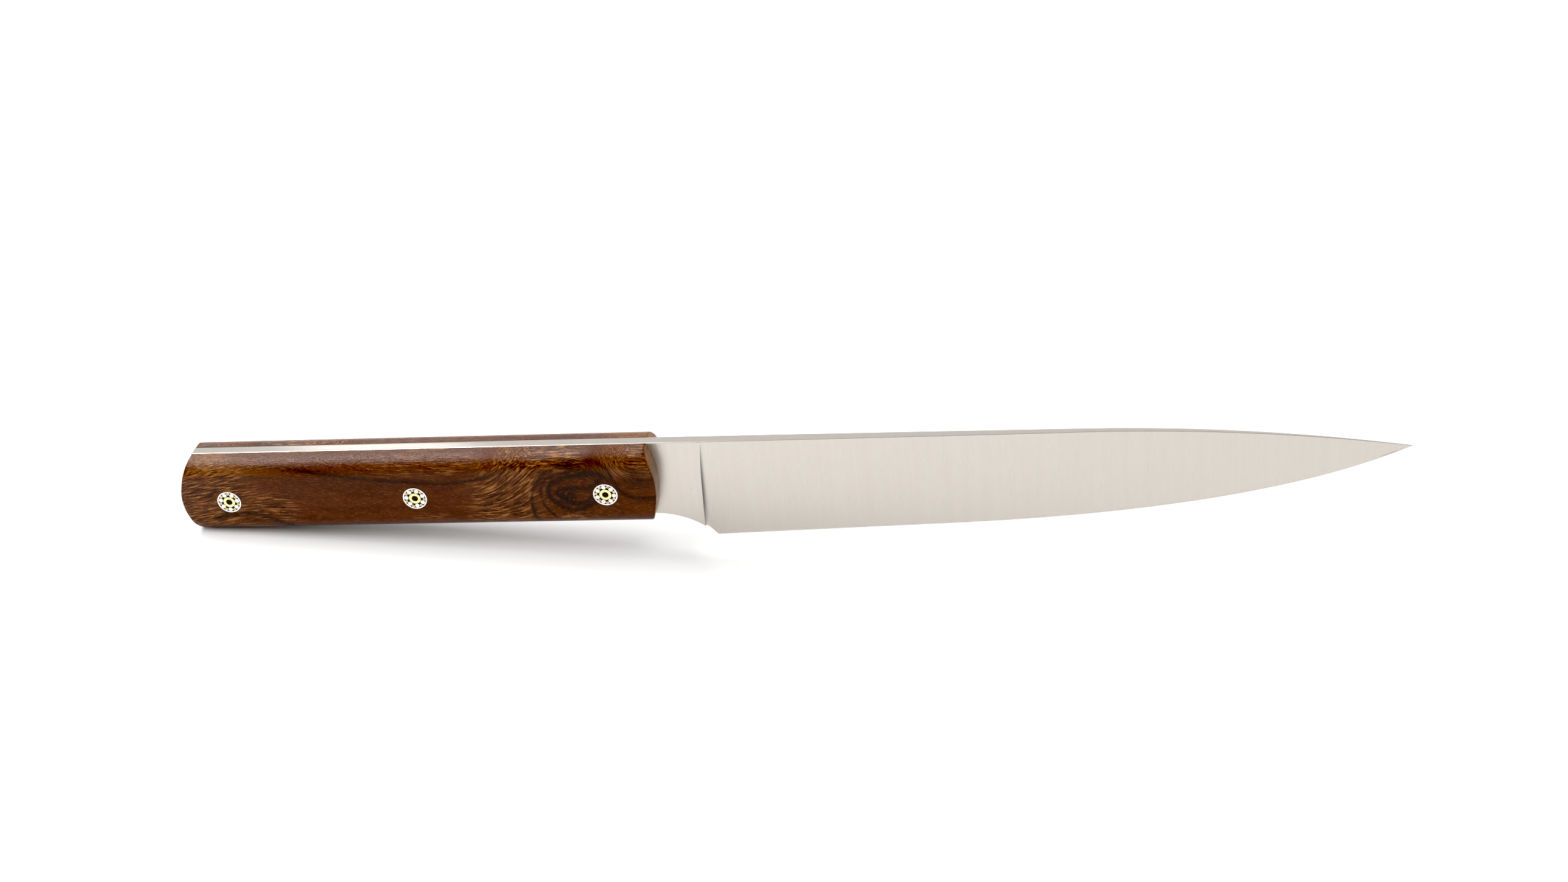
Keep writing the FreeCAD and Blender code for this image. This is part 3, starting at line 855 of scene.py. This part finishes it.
# colour of the painted dark reflection in the plunge's hollow
PLUNGE_REFLECTION_COLOUR = (0.10, 0.094, 0.09, 1)
SATIN_ROUGHNESS = (0.33, 0.27)
SPINE_ROUGHNESS = 0.13             # the top of the tang and spine is finished brighter than the sides


def steel_material():
    """Satin steel with fine grind lines from the spine to the edge, and a painted dark reflection in the
    plunge's hollow.
    """
    n = Nodes("satin_steel")
    place = n.coordinates()
    # how strongly the dark reflection is painted into the plunge's hollow at each point
    hollow = n.split(n.attribute("painted_hollow_reflection"))[0]
    lines = n.noise(n.stretched(place, GRIND_SCALE), detail=3.0, roughness=0.7)
    wide = n.noise(n.stretched(place, WIDE_SCALE), detail=2.0)
    tone = n.mix(n.band(wide, 0.3, 0.7), *STEEL_TONES)
    tone = n.mix(n.band(lines, 0.35, 0.65, 0.0, 0.10), tone, GRIND_TONE)
    # paints the dark reflection into the hollow of the plunge
    tone = n.mix(hollow, tone, PLUNGE_REFLECTION_COLOUR)
    up = n.split(n.add("ShaderNodeNewGeometry").outputs["True Normal"])[2]
    satin = n.band(lines, 0.3, 0.7, *SATIN_ROUGHNESS)
    rough = n.add("ShaderNodeMix", {"data_type": "FLOAT"})
    n.feed(rough.inputs[0], n.band(up, 0.6, 0.9))
    n.feed(rough.inputs[2], satin)
    rough.inputs[3].default_value = SPINE_ROUGHNESS
    n.finish(Base_Color=tone, Metallic=1.0, Roughness=rough.outputs[0],
             Normal=n.bump(lines, 0.06, 0.000006))
    return n.material


MARK_SCALE = (2600, 520, 3640)
FILLER_SCALE = (3000, 3000, 3000)
FILLER_SPECULAR = 0.2
FLOOR_TONE = (0.78, 0.78, 0.78, 1)
GLOW = (0.6, 1.9, 0.75)            # of the far floor: where it starts, where it is full, how strong


def metal_material(name, low, high, rough):
    """A cut and polished metal with fine turning marks."""
    n = Nodes(name)
    marks = n.noise(n.stretched(n.coordinates(), MARK_SCALE), detail=3.0)
    n.finish(Base_Color=n.mix(n.band(marks, 0.3, 0.7), low, high), Metallic=1.0,
             Roughness=n.band(marks, 0.3, 0.7, rough * 0.8, rough * 1.3),
             Normal=n.bump(marks, 0.1, 0.00001))
    return n.material


def filler_material(name, low, high, rough):
    """Resin or glue, slightly grainy and less glossy than the finish on the wood."""
    n = Nodes(name)
    grains = n.noise(n.stretched(n.coordinates(), FILLER_SCALE), detail=3.0)
    n.finish(Base_Color=n.mix(n.band(grains, 0.3, 0.7), low, high),
             Roughness=n.band(grains, 0.3, 0.7, rough, rough * 1.4), Normal=n.bump(grains, 0.2, 0.00002))
    n.shader.inputs["Specular IOR Level"].default_value = FILLER_SPECULAR
    return n.material


def floor_material():
    """Pale all over. Far from the knife, where the lamps don't reach, it glows a little to stay pale."""
    n = Nodes("studio_floor")
    far = n.add("ShaderNodeVectorMath", {"operation": "LENGTH"}, Vector=n.coordinates()).outputs["Value"]
    n.finish(Base_Color=FLOOR_TONE, Roughness=1.0, Emission_Color=(1, 1, 1, 1),
             Emission_Strength=n.band(far, *GLOW[:2], 0.0, GLOW[2]))
    n.shader.inputs["Specular IOR Level"].default_value = 0.0
    return n.material


# ---- build ----------------------------------------------------------------------------------------

def dress(piece, material, node):
    piece.data.materials.clear()
    piece.data.materials.append(material)
    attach(piece, "root")
    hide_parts(node)


def build_knife():
    blade = make_blade()
    dress(blade, steel_material(), "blade")
    for name, side, node, seed in (("right_handle_wood", -1, "right_scale", 2.0),
                                   ("left_handle_wood", 1, "left_scale", 31.0)):
        scale = make_scale(name, side)
        paint_figure(scale, side)
        dress(scale, wood_material(name + "_figure", seed), node)


def finish_small_parts():
    silver = metal_material("nickel_silver", (0.78, 0.77, 0.76, 1), (0.86, 0.85, 0.84, 1), 0.22)
    rod = metal_material("silver_rod", (0.66, 0.65, 0.65, 1), (0.76, 0.75, 0.75, 1), 0.3)
    brass = metal_material("brass", (0.80, 0.64, 0.30, 1), (0.88, 0.74, 0.40, 1), 0.25)
    resin = filler_material("black_resin", rgb(24, 20, 13), rgb(42, 36, 25), 0.3)
    glue = filler_material("dark_glue", rgb(20, 11, 7), rgb(40, 24, 15), 0.4)
    chosen = {
        "outer_tube": silver, "rods": rod, "small_tubes": brass, "centre_tube": brass,
        "resin": resin, "pin_glue": glue, "glue_line": glue,
    }
    for name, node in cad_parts.items():
        for ending, material in chosen.items():
            if name.endswith(ending):
                for place in node.material_slots:
                    place.material = material


def build_stage():
    """The table, which the rear end of the handle touches while the blade is held clear of it."""
    tilt = math.radians(FLOOR_TILT)
    normal = Vector((math.sin(tilt), 0, math.cos(tilt)))
    lowest = min(normal.dot(v.co) for name in ("right_scale", "blade")
                 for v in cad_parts[name].data.vertices)
    bpy.ops.mesh.primitive_plane_add(size=FLOOR_SIZE, location=normal * (lowest - FLOOR_GAP),
                                     rotation=(0, tilt, 0))
    floor = bpy.context.object
    floor.name = "studio_floor"
    floor.data.materials.append(floor_material())


# Lamps: name, place, target, width, height, radiance, and whether it shows in reflections.
LAMPS = [
    ("overhead", (-0.44, 0.25, 1.0), (-0.44, 0.25, 0), 0.50, 1.65, 2.7, True),
    ("overhead_middle", (-0.385, 0.25, 0.99), (-0.385, 0.25, 0), 0.16, 0.85, 22.0, True),
    ("back_panel", (-0.41, 1.0, 0.64), (0, 0, 0), 0.13, 0.26, 0.9, True),
    ("front_fill", (0.25, -0.75, 1.25), (0.05, 0, 0), 1.4, 1.0, 3.4, False),
]
SKY_WHITE = (1.02, 1.02, 1.02, 1)
SKY_DIM = (0.22, 0.21, 0.20, 1)
# The sky dims between these parts of the direction: its Z part upwards, and its Y part to the front.
DIM_RISE = (0.18, 0.36)
DIM_FRONT = (0.35, -0.25)


def area_light(name, place, target, width, height, radiance, mirrored):
    data = bpy.data.lights.new(name, "AREA")
    data.shape = "RECTANGLE"
    data.size = width
    data.size_y = height
    data.energy = radiance * math.pi * width * height
    light = bpy.data.objects.new(name, data)
    light.location = place
    light.rotation_euler = (Vector(target) - Vector(place)).to_track_quat("-Z", "Y").to_euler()
    light.visible_glossy = mirrored
    bpy.context.scene.collection.objects.link(light)


def build_world():
    """White low down all round, a dim room high up in front, and a light ceiling at the back."""
    world = bpy.data.worlds.new("studio")
    bpy.context.scene.world = world
    world.use_nodes = True
    nodes = world.node_tree.nodes
    links = world.node_tree.links
    background = nodes["Background"]
    direction = nodes.new("ShaderNodeTexCoord").outputs["Generated"]
    split = nodes.new("ShaderNodeSeparateXYZ")
    links.new(direction, split.inputs[0])
    both = nodes.new("ShaderNodeMath")
    both.operation = "MULTIPLY"
    for socket, (axis, limits) in zip(both.inputs, (("Z", DIM_RISE), ("Y", DIM_FRONT))):
        band = nodes.new("ShaderNodeMapRange")
        band.interpolation_type = "SMOOTHSTEP"
        band.inputs["From Min"].default_value, band.inputs["From Max"].default_value = limits
        links.new(split.outputs[axis], band.inputs["Value"])
        links.new(band.outputs[0], socket)
    tone = nodes.new("ShaderNodeMix")
    tone.data_type = "RGBA"
    links.new(both.outputs[0], tone.inputs[0])
    tone.inputs[6].default_value = SKY_WHITE
    tone.inputs[7].default_value = SKY_DIM
    links.new(tone.outputs[2], background.inputs["Color"])
    background.inputs["Strength"].default_value = 1.0


CAMERA_PLACE = (0.16384, -0.42861, 0.28122)
CAMERA_AZIMUTH = -9.587
CAMERA_ELEVATION = 31.981
CAMERA_ROLL = -6.425
CAMERA_LENS = 49.236
CAMERA_SENSOR = 36
BLACK_LEVEL = 0.034


def build_camera():
    data = bpy.data.cameras.new("camera")
    data.lens = CAMERA_LENS
    data.sensor_width = CAMERA_SENSOR
    data.clip_start = 0.01
    data.clip_end = 50
    camera = bpy.data.objects.new("camera", data)
    azimuth = math.radians(CAMERA_AZIMUTH)
    elevation = math.radians(CAMERA_ELEVATION)
    roll = math.radians(CAMERA_ROLL)
    forward = Vector((math.sin(azimuth) * math.cos(elevation), math.cos(azimuth) * math.cos(elevation),
                      -math.sin(elevation)))
    level = forward.cross(Vector((0, 0, 1))).normalized()
    up = level.cross(forward)
    right = level * math.cos(roll) + up * math.sin(roll)
    up = right.cross(forward)
    turn = Matrix((right, up, -forward)).transposed()
    camera.matrix_world = Matrix.Translation(Vector(CAMERA_PLACE)) @ turn.to_4x4()
    bpy.context.scene.collection.objects.link(camera)
    bpy.context.scene.camera = camera


def set_view():
    view = bpy.context.scene.view_settings
    view.view_transform = "Standard"
    view.look = "None"
    view.use_curve_mapping = True
    view.curve_mapping.black_level = (BLACK_LEVEL, BLACK_LEVEL, BLACK_LEVEL)
    view.curve_mapping.update()


build_camera()
build_knife()
finish_small_parts()
build_stage()
build_world()
for lamp in LAMPS:
    area_light(*lamp)
set_view()
